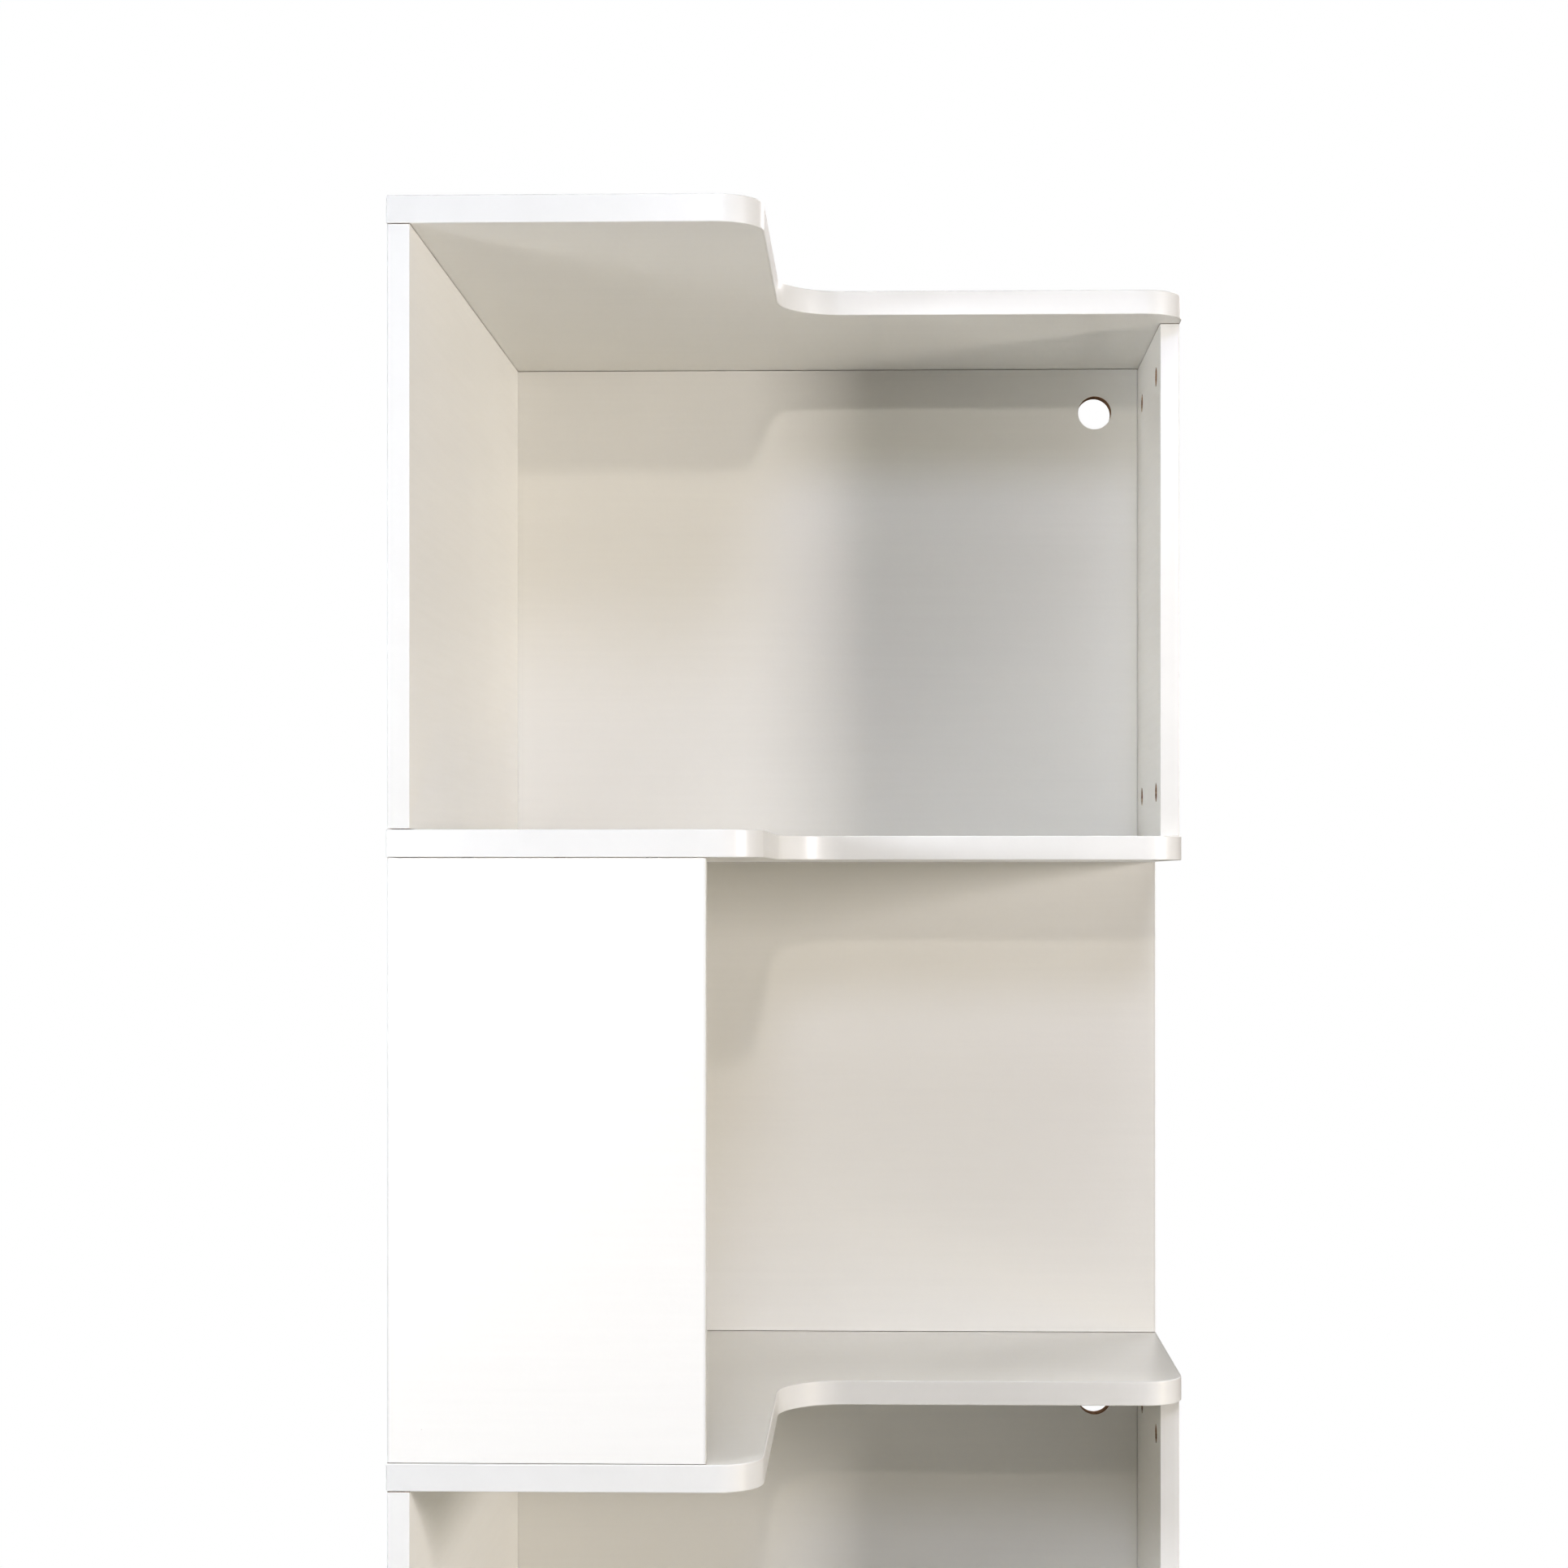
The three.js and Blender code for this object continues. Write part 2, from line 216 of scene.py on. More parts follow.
class MeshMaker:
    """Collects vertices and faces in a board's own coordinates: two in its plane and one through it."""

    def __init__(self):
        self.points = []
        self.faces = []
        self.slots = []
        self.smooth = []

    def ring(self, loop, level):
        first = len(self.points)
        self.points += [(p[0], p[1], level) for p in loop]
        return list(range(first, len(self.points)))

    def face(self, corners, slot, smooth):
        self.faces.append(corners)
        self.slots.append(slot)
        self.smooth.append(smooth)

    def strip(self, lower, upper, slot, smooth=True):
        """Quads between two rings, facing out when they run anticlockwise and upper lies above.

        slot is a material slot, or a function that gives it from the two lower points of a quad.
        """
        for i in range(len(lower)):
            corners = [lower[i - 1], lower[i], upper[i], upper[i - 1]]
            here = slot(self.points[corners[0]], self.points[corners[1]]) if callable(slot) else slot
            self.face(corners, here, smooth)

    def cap(self, rings, slot, upwards):
        """A flat face inside the first ring and outside the others."""
        loops = [[Vector(self.points[i]) for i in ring] for ring in rings]
        flat = [i for ring in rings for i in ring]
        for triangle in tessellate_polygon(loops):
            corners = [flat[i] for i in triangle]
            a, b, c = (Vector(self.points[i]) for i in corners)
            if ((b - a).cross(c - a).z > 0) != upwards:
                corners.reverse()
            self.face(corners, slot, False)

    def add(self, other, matrix):
        """Takes in another maker's mesh, moved by a matrix."""
        first = len(self.points)
        self.points += [matrix @ Vector(point) for point in other.points]
        self.faces += [[i + first for i in corners] for corners in other.faces]
        self.slots += other.slots
        self.smooth += other.smooth

    def build(self, name, materials, axes=(0, 1, 2)):
        placed = []
        for point in self.points:
            world = [0.0, 0.0, 0.0]
            for value, axis in zip(point, axes):
                world[axis] = value
            placed.append(world)
        mesh = bpy.data.meshes.new(name)
        mesh.from_pydata(placed, [], self.faces)
        for material in materials:
            mesh.materials.append(material)
        mesh.polygons.foreach_set("material_index", self.slots)
        mesh.set_sharp_from_angle(angle=SHARP_ANGLE)  # this makes every face smooth, so it comes first
        mesh.polygons.foreach_set("use_smooth", self.smooth)
        mesh.validate()
        return mesh


def rounded_profile(rounding):
    """(inset, distance from the face) of each ring over a board's edge, from its side to its face."""
    angles = [math.pi / 2 * k / ROUNDING_STEPS for k in range(ROUNDING_STEPS + 1)]
    rounded = [(rounding * (1 - math.sin(a)), rounding * (1 - math.cos(a))) for a in reversed(angles)]
    return [(0, HOLDING_RING * rounding), *rounded]


def pocket(loop, lip, depth, slot):
    """A blind hole: its outline, how far its chamfer reaches, its depth and the material inside."""
    return {"loop": loop, "lip": lip, "depth": depth, "slot": slot}


def drilled(centre, radius, steps, depth):
    return pocket(circle(centre, radius, steps), HOLE_LIP, depth, CORE)


def add_pocket(maker, level, inwards, hole):
    """A blind hole from the face at a level. inwards is -1 from an upper face and 1 from a lower one."""
    mouth = maker.ring(grown(hole["loop"], hole["lip"]), level)
    neck = maker.ring(hole["loop"], level + inwards * hole["lip"])
    foot = maker.ring(hole["loop"], level + inwards * hole["depth"])
    for outer, inner, slot in ((mouth, neck, FACE), (neck, foot, hole["slot"])):
        if inwards < 0:
            maker.strip(outer, inner, slot)
        else:
            maker.strip(inner, outer, slot)
    maker.cap([foot], hole["slot"], upwards=inwards < 0)
    return mouth


def add_through_hole(maker, low, high, centre, radius, steps):
    """A hole right through, with a lip of facing at each face and the raw core between."""
    loop, lip = circle(centre, radius, steps), circle(centre, radius + HOLE_LIP, steps)
    rings = [
        maker.ring(lip, high),
        maker.ring(loop, high - HOLE_LIP),
        maker.ring(loop, low + HOLE_LIP),
        maker.ring(lip, low),
    ]
    for upper, lower, slot in zip(rings, rings[1:], (FACE, CORE, FACE)):
        maker.strip(upper, lower, slot)
    return rings[0], rings[-1]


def plate(ring_at, low, high, rounding, side_slot, through=(), top=(), bottom=()):
    """A board between two levels, with rounded and banded edges, through holes and pockets in its faces.

    ring_at gives the outline at an inset, and side_slot the material of a side between two of its points.
    """
    maker = MeshMaker()
    profile = rounded_profile(rounding)
    levels = [(distance, low + rise) for distance, rise in reversed(profile)]
    levels += [(distance, high - rise) for distance, rise in profile]
    rings = [maker.ring(ring_at(distance), level) for distance, level in levels]
    for lower, upper in zip(rings, rings[1:]):
        maker.strip(lower, upper, side_slot)
    foot, head = rings[0], rings[-1]
    for distance, slot in ((BAND_THICKNESS, BAND), (BAND_THICKNESS + GLUE_LINE, GLUE_SLOT)):
        lower, upper = maker.ring(ring_at(distance), low), maker.ring(ring_at(distance), high)
        maker.strip(lower, foot, slot, smooth=False)
        maker.strip(head, upper, slot, smooth=False)
        foot, head = lower, upper
    mouths = [add_through_hole(maker, low, high, *hole) for hole in through]
    top_mouths = [add_pocket(maker, high, -1, hole) for hole in top]
    bottom_mouths = [add_pocket(maker, low, 1, hole) for hole in bottom]
    maker.cap([head, *[mouth[0] for mouth in mouths], *top_mouths], FACE, upwards=True)
    maker.cap([foot, *[mouth[1] for mouth in mouths], *bottom_mouths], FACE, upwards=False)
    return maker


def turned(profile, steps, slots=FACE, top=(), outline_at=None):
    """A round solid from (radius, level) pairs that run anticlockwise round its half section.

    A flat cap closes each end, and the last one may have pockets. slots is one slot, or one for each pair.
    """
    outline_at = outline_at or (lambda radius: circle((0, 0), radius, steps))
    maker = MeshMaker()
    slots = [slots] * len(profile) if isinstance(slots, int) else slots
    rings = [maker.ring(outline_at(radius), level) for radius, level in profile]
    for lower, upper, slot in zip(rings, rings[1:], slots[1:]):
        maker.strip(lower, upper, slot)
    mouths = [add_pocket(maker, profile[-1][1], -1, hole) for hole in top]
    maker.cap([rings[0]], slots[0], upwards=False)
    maker.cap([rings[-1], *mouths], slots[-1], upwards=True)
    return maker


def add_piece(name, mesh, replaced=()):
    """Links a mesh, made in place, as a visible piece of the bookcase."""
    piece = bpy.data.objects.new(name, mesh)
    bpy.context.scene.collection.objects.link(piece)
    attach(piece, BODY)
    for node in replaced:
        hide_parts(node)
    return piece


# ---------------------------------------------------------------- materials


def new_material(name):
    """A material with its Principled shader, and a helper that adds and links nodes."""
    material = bpy.data.materials.new(name)
    material.use_nodes = True
    tree = material.node_tree
    shader = next(n for n in tree.nodes if n.type == "BSDF_PRINCIPLED")

    def node(kind, settings=None, inputs=None):
        made = tree.nodes.new(kind)
        for key, value in (settings or {}).items():
            setattr(made, key, value)
        for key, value in (inputs or {}).items():
            if isinstance(value, bpy.types.NodeSocket):
                tree.links.new(value, made.inputs[key])
            else:
                made.inputs[key].default_value = value
        return made

    def feed(key, socket):
        tree.links.new(socket, shader.inputs[key])

    return material, shader, node, feed


def ramp(node, factor, stops):
    """A colour ramp through (position, grey or colour) stops."""
    made = node("ShaderNodeValToRGB", inputs={"Fac": factor})
    elements = made.color_ramp.elements
    while len(elements) < len(stops):
        elements.new(0.5)
    for element, (position, colour) in zip(elements, stops):
        element.position = position
        element.color = (*colour, 1) if isinstance(colour, tuple) else (colour, colour, colour, 1)
    return made.outputs["Color"]


def noise(node, place, scale, detail=2.0, roughness=0.5):
    """A noise texture's value, from 0 to 1. scale is in waves per unit of place."""
    inputs = {"Vector": place, "Scale": scale, "Detail": detail, "Roughness": roughness}
    return node("ShaderNodeTexNoise", inputs=inputs).outputs["Fac"]


def weighted_sum(node, value, weight, other):
    """value times weight, plus other."""
    return node("ShaderNodeMath", {"operation": "MULTIPLY_ADD"}, {0: value, 1: weight, 2: other}).outputs[0]


def add_relief(node, feed, height, strength, distance):
    """Bumps from a height value. distance is the relief's depth in metres."""
    bump = node("ShaderNodeBump", inputs={"Height": height, "Strength": strength, "Distance": distance})
    feed("Normal", bump.outputs["Normal"])


MELAMINE_LIGHT = (0.866, 0.856, 0.814)
MELAMINE_SHADE = (0.854, 0.844, 0.802)
SHADE_TONE, LIGHT_TONE = 0.6, 1.1  # the streaks' and clouds' sum, at the two colours above
SHADE_ROUGHNESS, LIGHT_ROUGHNESS = 0.40, 0.34
STREAK_TONE_SHARE = 0.7  # how much the streaks count in the colour, beside the clouds
STREAK_RELIEF_SHARE = 0.5  # and in the relief, beside the orange peel
SPECK_COLOUR = (0.50, 0.44, 0.36)
SPECK_CELLS = 38.0  # cells per metre, of which some hold a speck
SPECK_SIZE = 0.013  # as a share of a cell
SPECK_CORE = 0.7  # as a share of the speck
SPECK_SHARE = 0.35  # of the cells
SPECK_STRENGTH = 0.4


def specks(node, place):
    """A few specks of dust, as a factor from 0 to 1."""
    cells = node("ShaderNodeTexVoronoi", inputs={"Vector": place, "Scale": SPECK_CELLS, "Randomness": 1.0})
    dot = ramp(node, cells.outputs["Distance"], [(SPECK_SIZE * SPECK_CORE, 1.0), (SPECK_SIZE, 0.0)])
    chosen = node("ShaderNodeMath", {"operation": "LESS_THAN"}, {0: cells.outputs["Color"], 1: SPECK_SHARE})
    marked = node("ShaderNodeMath", {"operation": "MULTIPLY"}, {0: dot, 1: chosen.outputs[0]}).outputs[0]
    return node("ShaderNodeMath", {"operation": "MULTIPLY"}, {0: marked, 1: SPECK_STRENGTH}).outputs[0]


def mixed(node, factor, first, second):
    """Two colours or colour sockets mixed by a factor."""
    inputs = {"Factor": factor}
    for key, colour in (("A", first), ("B", second)):
        inputs[key] = (*colour, 1) if isinstance(colour, tuple) else colour
    made = node("ShaderNodeMix", {"data_type": "RGBA"})
    tree = made.id_data
    sockets = {s.name: s for s in made.inputs if s.enabled}
    for key, value in inputs.items():
        if isinstance(value, bpy.types.NodeSocket):
            tree.links.new(value, sockets[key])
        else:
            sockets[key].default_value = value
    return next(s for s in made.outputs if s.enabled)


def melamine(name, grain):
    """White melamine facing. grain is how many streaks a metre holds along each axis."""
    material, _, node, feed = new_material(name)
    place = node("ShaderNodeTexCoord").outputs["Object"]
    chance = node("ShaderNodeObjectInfo").outputs["Random"]
    own = node("ShaderNodeVectorMath", {"operation": "ADD"}, {0: place, 1: chance}).outputs[0]
    along = node("ShaderNodeMapping", inputs={"Vector": own, "Scale": grain}).outputs["Vector"]
    streaks = noise(node, along, scale=1.0, detail=3.0, roughness=0.55)
    cloud = noise(node, own, scale=6.0)
    tone = weighted_sum(node, streaks, STREAK_TONE_SHARE, cloud)
    facing = ramp(node, tone, [(SHADE_TONE, MELAMINE_SHADE), (LIGHT_TONE, MELAMINE_LIGHT)])
    feed("Base Color", mixed(node, specks(node, own), facing, SPECK_COLOUR))
    feed("Roughness", ramp(node, tone, [(SHADE_TONE, SHADE_ROUGHNESS), (LIGHT_TONE, LIGHT_ROUGHNESS)]))
    relief = weighted_sum(node, streaks, STREAK_RELIEF_SHARE, noise(node, own, scale=420.0))
    add_relief(node, feed, relief, strength=0.5, distance=0.06 * MM)
    return material


LOW_TONE, HIGH_TONE = 0.3, 0.7  # where a noise texture's darker and lighter parts lie


def two_tone(node, factor, low, high):
    """A colour or value that goes from one to another over a noise texture's usual range."""
    return ramp(node, factor, [(LOW_TONE, low), (HIGH_TONE, high)])


# Where there is a pair, it is for a material's darker and lighter parts.
BAND_COLOURS = (0.788, 0.782, 0.748), (0.798, 0.792, 0.758)
BAND_ROUGHNESS = 0.30, 0.38
GLUE_COLOURS = (0.70, 0.66, 0.59), (0.82, 0.80, 0.74)
GLUE_ROUGHNESS = 0.6
CHIP_TONES = [(0.0, (0.16, 0.08, 0.04)), (0.5, (0.33, 0.19, 0.10)), (1.0, (0.50, 0.34, 0.20))]
CHIP_CELLS = 900.0  # per metre
CHIP_ROUGHNESS = 0.95
ZINC_COLOURS = (0.36, 0.355, 0.345), (0.55, 0.545, 0.53)
ZINC_ROUGHNESS = 0.55, 0.38
BEECH_COLOURS = (0.50, 0.34, 0.20), (0.68, 0.51, 0.33)
BEECH_ROUGHNESS = 0.85, 0.7
BEECH_GRAIN = (900, 900, 60)  # flecks per metre, few along the dowel
GLIDE_COLOURS = (0.76, 0.75, 0.71), (0.82, 0.81, 0.78)
GLIDE_PLASTIC_ROUGHNESS = 0.42, 0.55
FLOOR_COLOURS = (0.80, 0.80, 0.79), (0.83, 0.83, 0.82)
FLOOR_ROUGHNESS = 0.7


def edge_band():
    """Plastic edge band: smoother than the facing, with a fine grain."""
    material, _, node, feed = new_material("edge_band")
    place = node("ShaderNodeTexCoord").outputs["Object"]
    cloud = noise(node, place, scale=60.0, detail=4.0)
    feed("Base Color", two_tone(node, cloud, *BAND_COLOURS))
    feed("Roughness", two_tone(node, cloud, *BAND_ROUGHNESS))
    add_relief(node, feed, noise(node, place, scale=700.0), strength=0.05, distance=0.3 * MM)
    return material


def glue_line():
    """The hairline of glue between an edge band and the facing."""
    material, shader, node, feed = new_material("glue_line")
    place = node("ShaderNodeTexCoord").outputs["Object"]
    cloud = noise(node, place, scale=40.0, detail=3.0)
    feed("Base Color", two_tone(node, cloud, *GLUE_COLOURS))
    shader.inputs["Roughness"].default_value = GLUE_ROUGHNESS
    return material


def chipboard():
    """The raw board inside a drilled hole: pressed brown chips with dark gaps."""
    material, shader, node, feed = new_material("chipboard_core")
    place = node("ShaderNodeTexCoord").outputs["Object"]
    chips = node("ShaderNodeTexVoronoi", inputs={"Vector": place, "Scale": CHIP_CELLS, "Randomness": 1.0})
    feed("Base Color", ramp(node, chips.outputs["Color"], CHIP_TONES))
    shader.inputs["Roughness"].default_value = CHIP_ROUGHNESS
    fibre = noise(node, place, scale=1600.0, detail=5.0)
    add_relief(node, feed, fibre, strength=0.8, distance=0.5 * MM)
    return material


def zinc():
    """Die-cast zinc of the cam drums, dull and a little mottled."""
    material, shader, node, feed = new_material("cast_zinc")
    place = node("ShaderNodeTexCoord").outputs["Object"]
    mottle = noise(node, place, scale=500.0, detail=4.0)
    feed("Base Color", two_tone(node, mottle, *ZINC_COLOURS))
    feed("Roughness", two_tone(node, mottle, *ZINC_ROUGHNESS))
    shader.inputs["Metallic"].default_value = 1.0
    add_relief(node, feed, mottle, strength=0.3, distance=0.2 * MM)
    return material


def beech():
    """Raw beech of the dowels."""
    material, _, node, feed = new_material("raw_beech")
    place = node("ShaderNodeTexCoord").outputs["Object"]
    along = node("ShaderNodeMapping", inputs={"Vector": place, "Scale": BEECH_GRAIN}).outputs["Vector"]
    fleck = noise(node, along, scale=1.0, detail=4.0)
    feed("Base Color", two_tone(node, fleck, *BEECH_COLOURS))
    feed("Roughness", two_tone(node, fleck, *BEECH_ROUGHNESS))
    add_relief(node, feed, fleck, strength=0.3, distance=0.3 * MM)
    return material


def glide_plastic():
    """Moulded off-white plastic of the floor glides."""
    material, _, node, feed = new_material("glide_plastic")
    place = node("ShaderNodeTexCoord").outputs["Object"]
    cloud = noise(node, place, scale=300.0, detail=3.0)
    feed("Base Color", two_tone(node, cloud, *GLIDE_COLOURS))
    feed("Roughness", two_tone(node, cloud, *GLIDE_PLASTIC_ROUGHNESS))
    add_relief(node, feed, cloud, strength=0.1, distance=0.2 * MM)
    return material


GRAIN_ALONG, GRAIN_ACROSS = 9.0, 330.0  # streaks per metre
UPRIGHT_FACING = melamine("melamine_upright", (GRAIN_ALONG, GRAIN_ALONG, GRAIN_ACROSS))
SHELF_FACING = melamine("melamine_shelf", (GRAIN_ALONG, GRAIN_ACROSS, GRAIN_ALONG))
EDGE_BAND = edge_band()
CHIPBOARD = chipboard()
GLUE = glue_line()
ZINC = zinc()
BEECH = beech()
GLIDE_PLASTIC = glide_plastic()


# ---------------------------------------------------------------- boards

BOARD_MATERIALS = {
    "shelf": [SHELF_FACING, EDGE_BAND, CHIPBOARD, GLUE],
    "upright": [UPRIGHT_FACING, EDGE_BAND, CHIPBOARD, GLUE],
}


def flat(point, plane):
    """A point's two coordinates in a plane named by its normal axis."""
    first, second, _ = PLANES[plane]
    return Vector((point[first], point[second]))


def middle_of(name):
    low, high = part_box(name)
    return (low + high) / 2


def end_panel_middle(tier, point):
    """A point moved to the middle of the end panel's thickness."""
    moved = point.copy()
    axis = 0 if is_odd(tier) else 1
    moved[axis] = middle_of(f"end_panel_{tier}")[axis]
    return moved


def rod_points(tier, row):
    """The middles of the bolts and the dowel at one end of a tier's end panel."""
    names = [f"cam_fitting_{tier}_{row}_{column}" for column in COLUMNS] + [f"dowel_{tier}_{row}"]
    return [end_panel_middle(tier, middle_of(name)) for name in names]


def glide_names():
    return sorted(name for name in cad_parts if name.startswith("floor_glide_"))


def build_shelf(level, name):
    low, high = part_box(name)
    rod_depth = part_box("dowel_1_upper")[1].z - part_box("shelf_2")[0].z + BORE_CLEARANCE
    top, bottom = [], []
    if level < len(TIERS):
        top = [drilled(p.xy, BORE_RADIUS, BORE_STEPS, rod_depth) for p in rod_points(level + 1, "lower")]
    if level > 0:
        bottom = [drilled(p.xy, BORE_RADIUS, BORE_STEPS, rod_depth) for p in rod_points(level, "upper")]
    else:
        for glide in glide_names():
            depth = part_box(glide)[1].z - low.z + BORE_CLEARANCE
            bottom.append(drilled(middle_of(glide).xy, NAIL_HOLE_RADIUS, NAIL_HOLE_STEPS, depth))
    maker = plate(
        lambda distance: shelf_outline(low, high, distance),
        low.z,
        high.z,
        SHELF_ROUNDING,
        BAND,
        top=top,
        bottom=bottom,
    )
    mesh = maker.build(name + "_board", BOARD_MATERIALS["shelf"], PLANES["z"])
    return add_piece(name + "_board", mesh, [name])


def build_upright(name, plane, through=(), low_side=(), high_side=()):
    """A wall or end panel, with pockets in the face on its low or its high side."""
    low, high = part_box(name)
    low.z += SEAM_GAP
    high.z -= SEAM_GAP
    thickness_axis = PLANES[plane][2]
    z_axis = PLANES[plane].index(2)
    flat_low, flat_high = flat(low, plane), flat(high, plane)

    def outline(distance):
        step = Vector((distance, distance))
        step[z_axis] *= END_ROUNDING_SHARE
        return rectangle(flat_low + step, flat_high - step, PANEL_CORNER_RADIUS)

    def side_slot(start, end):
        is_sawn_end = abs(end[z_axis] - start[z_axis]) < abs(end[1 - z_axis] - start[1 - z_axis])
        return CORE if is_sawn_end else BAND

    maker = plate(
        outline,
        low[thickness_axis],
        high[thickness_axis],
        PANEL_ROUNDING,
        side_slot,
        through,
        top=high_side,
        bottom=low_side,
    )
    mesh = maker.build(name + "_board", BOARD_MATERIALS["upright"], PLANES[plane])
    return add_piece(name + "_board", mesh, [name])


def cam_height(name, row):
    low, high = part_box(name)
    return low.z + CAM_END_DISTANCE if row == "lower" else high.z - CAM_END_DISTANCE


def wall_cam_points(name, plane):
    """(row, point) of each cam's centre on a wall panel's wall side."""
    low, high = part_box(name)
    across = PLANES[plane][2]
    along = 1 - across
    found = []
    for row in ROWS:
        for place in (low[along] + WALL_CAM_INSET, high[along] - WALL_CAM_INSET):
            point = Vector((0, 0, cam_height(name, row)))
            point[along] = place
            point[across] = high[across] if plane == "y" else low[across]
            found.append((row, point))
    return found


def end_cam_points(tier):
    """(row, column, point) of each cam's centre on an end panel's inner face."""
    name = f"end_panel_{tier}"
    low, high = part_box(name)
    found = []
    for row in ROWS:
        for column in COLUMNS:
            point = middle_of(f"cam_fitting_{tier}_{row}_{column}")
            point.z = cam_height(name, row)
            if is_odd(tier):
                point.x = low.x
            else:
                point.y = high.y
            found.append((row, column, point))
    return found


def cable_hole(name, plane):
    low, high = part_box(name)
    point = Vector((high.x - CABLE_HOLE_INSET, low.y + CABLE_HOLE_INSET, high.z - CABLE_HOLE_DROP))
    return flat(point, plane), CABLE_HOLE_RADIUS, CABLE_HOLE_STEPS


def rod_bores(tier):
    """Closed rods that a Boolean takes out of an end panel."""
    low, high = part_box(f"end_panel_{tier}")
    bores = MeshMaker()
    for row in ROWS:
        points = rod_points(tier, row)
        dowel_low, dowel_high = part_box(f"dowel_{tier}_{row}")
        for point in points:
            is_dowel = point == points[-1]
            if row == "lower":
                reach = dowel_high.z + BORE_CLEARANCE if is_dowel else low.z + CAM_END_DISTANCE
                ends = low.z - SEAM_GAP, reach
            else:
                reach = dowel_low.z - BORE_CLEARANCE if is_dowel else high.z - CAM_END_DISTANCE
                ends = reach, high.z + SEAM_GAP
            rod = turned([(BORE_RADIUS, ends[0]), (BORE_RADIUS, ends[1])], BORE_STEPS)
            bores.add(rod, Matrix.Translation((point.x, point.y, 0)))
    return bores.build("bores", [CHIPBOARD])


def carve(piece, cutter_mesh, thickness_axis):
    """Takes a closed mesh out of a board, and leaves the cutter's material on the new faces."""
    cutter = bpy.data.objects.new("cutter", cutter_mesh)
    bpy.context.scene.collection.objects.link(cutter)
    carving = piece.modifiers.new("bores", "BOOLEAN")
    carving.operation = "DIFFERENCE"
    carving.solver = "EXACT"
    carving.object = cutter
    carving.material_mode = "TRANSFER"
    graph = bpy.context.evaluated_depsgraph_get()
    carved = bpy.data.meshes.new_from_object(piece.evaluated_get(graph))
    carved.name = piece.data.name
    piece.modifiers.remove(carving)
    piece.data = carved
    carved.set_sharp_from_angle(angle=SHARP_ANGLE)
    for face in carved.polygons:
        face.use_smooth = abs(face.normal[thickness_axis]) < FLAT_FACE
    bpy.data.objects.remove(cutter)


def build_tier(tier):
    odd = is_odd(tier)
    for wall, plane in (("left", "x"), ("back", "y")):
        name = f"{wall}_panel_{tier}"
        points = [point for _, point in wall_cam_points(name, plane)]
        pockets = [drilled(flat(p, plane), POCKET_RADIUS, POCKET_STEPS, POCKET_DEPTH) for p in points]
        through = [cable_hole(name, plane)] if odd == (wall == "back") else ()
        if wall == "left":
            build_upright(name, plane, through, low_side=pockets)
        else:
            build_upright(name, plane, through, high_side=pockets)
    plane = "x" if odd else "y"
    points = [point for _, _, point in end_cam_points(tier)]
    pockets = [drilled(flat(p, plane), POCKET_RADIUS, POCKET_STEPS, POCKET_DEPTH) for p in points]
    if odd:
        end = build_upright(f"end_panel_{tier}", plane, low_side=pockets)
    else:
        end = build_upright(f"end_panel_{tier}", plane, high_side=pockets)
    carve(end, rod_bores(tier), PLANES[plane][2])


# ---------------------------------------------------------------- fittings


def standing(location, outwards, upwards):
    """A matrix that puts a local origin at a place, its Z axis outwards and its Y axis upwards."""
    sideways = upwards.cross(outwards)
    turn = Matrix((sideways, upwards, outwards)).transposed()
    return Matrix.Translation(location) @ turn.to_4x4()


def cross_outline():
    reach, half = CROSS_REACH, CROSS_HALF_WIDTH
    quarter = [(reach, -half), (reach, half), (half, half)]
    loop = []
    for turn in range(4):
        rotation = Matrix.Rotation(math.pi / 2 * turn, 2)
        loop += [rotation @ Vector(point) for point in quarter]
    return loop


def cam_drum():
    """A zinc drum on z = 0, with its screwdriver cross and its arrow on top. The arrow points along Y."""
    rounded = rounded_profile(DRUM_ROUNDING)
    foot = [(DRUM_RADIUS - distance, rise) for distance, rise in reversed(rounded)]
    head = [(DRUM_RADIUS - distance, DRUM_HEIGHT - rise) for distance, rise in rounded]
    corners = (-ARROW_HALF_WIDTH, ARROW_FOOT), (ARROW_HALF_WIDTH, ARROW_FOOT), (0, ARROW_TIP)
    arrow = [Vector(corner) for corner in corners]
    marks = [
        pocket(cross_outline(), MOULDED_LIP, CROSS_DEPTH, FACE),
        pocket(arrow, MOULDED_LIP, ARROW_DEPTH, FACE),
    ]
    return turned(foot + head, DRUM_STEPS, top=marks)


def connecting_bolt(shelf_depth):
    """A bolt from the drum at z = 0 up through the panel's end and into the shelf."""
    start, face = POCKET_RADIUS, CAM_END_DISTANCE
    profile = [
        (BOLT_NECK_RADIUS, start),
        (BOLT_NECK_RADIUS, start + BOLT_NECK_LENGTH),
        (BOLT_SHAFT_RADIUS, start + BOLT_NECK_LENGTH + BOLT_SHOULDER),
        (BOLT_SHAFT_RADIUS, face - BOLT_COLLAR_HEIGHT),
        (BOLT_COLLAR_RADIUS, face - BOLT_COLLAR_HEIGHT),
        (BOLT_COLLAR_RADIUS, face),
    ]
    turns = int(shelf_depth / THREAD_PITCH)
    for turn in range(turns):
        foot = face + turn * THREAD_PITCH
        profile += [(THREAD_ROOT_RADIUS, foot), (THREAD_CREST_RADIUS, foot + THREAD_PITCH / 2)]
    profile.append((THREAD_ROOT_RADIUS, face + shelf_depth))
    return turned(profile, TURNED_STEPS)


def fluted_outline(radius):
    loop = circle((0, 0), radius, DOWEL_STEPS)
    steps_per_flute = DOWEL_STEPS // FLUTES
    share = 1 - FLUTE_DEPTH / DOWEL_RADIUS
    return [point * share if i % steps_per_flute == 0 else point for i, point in enumerate(loop)]


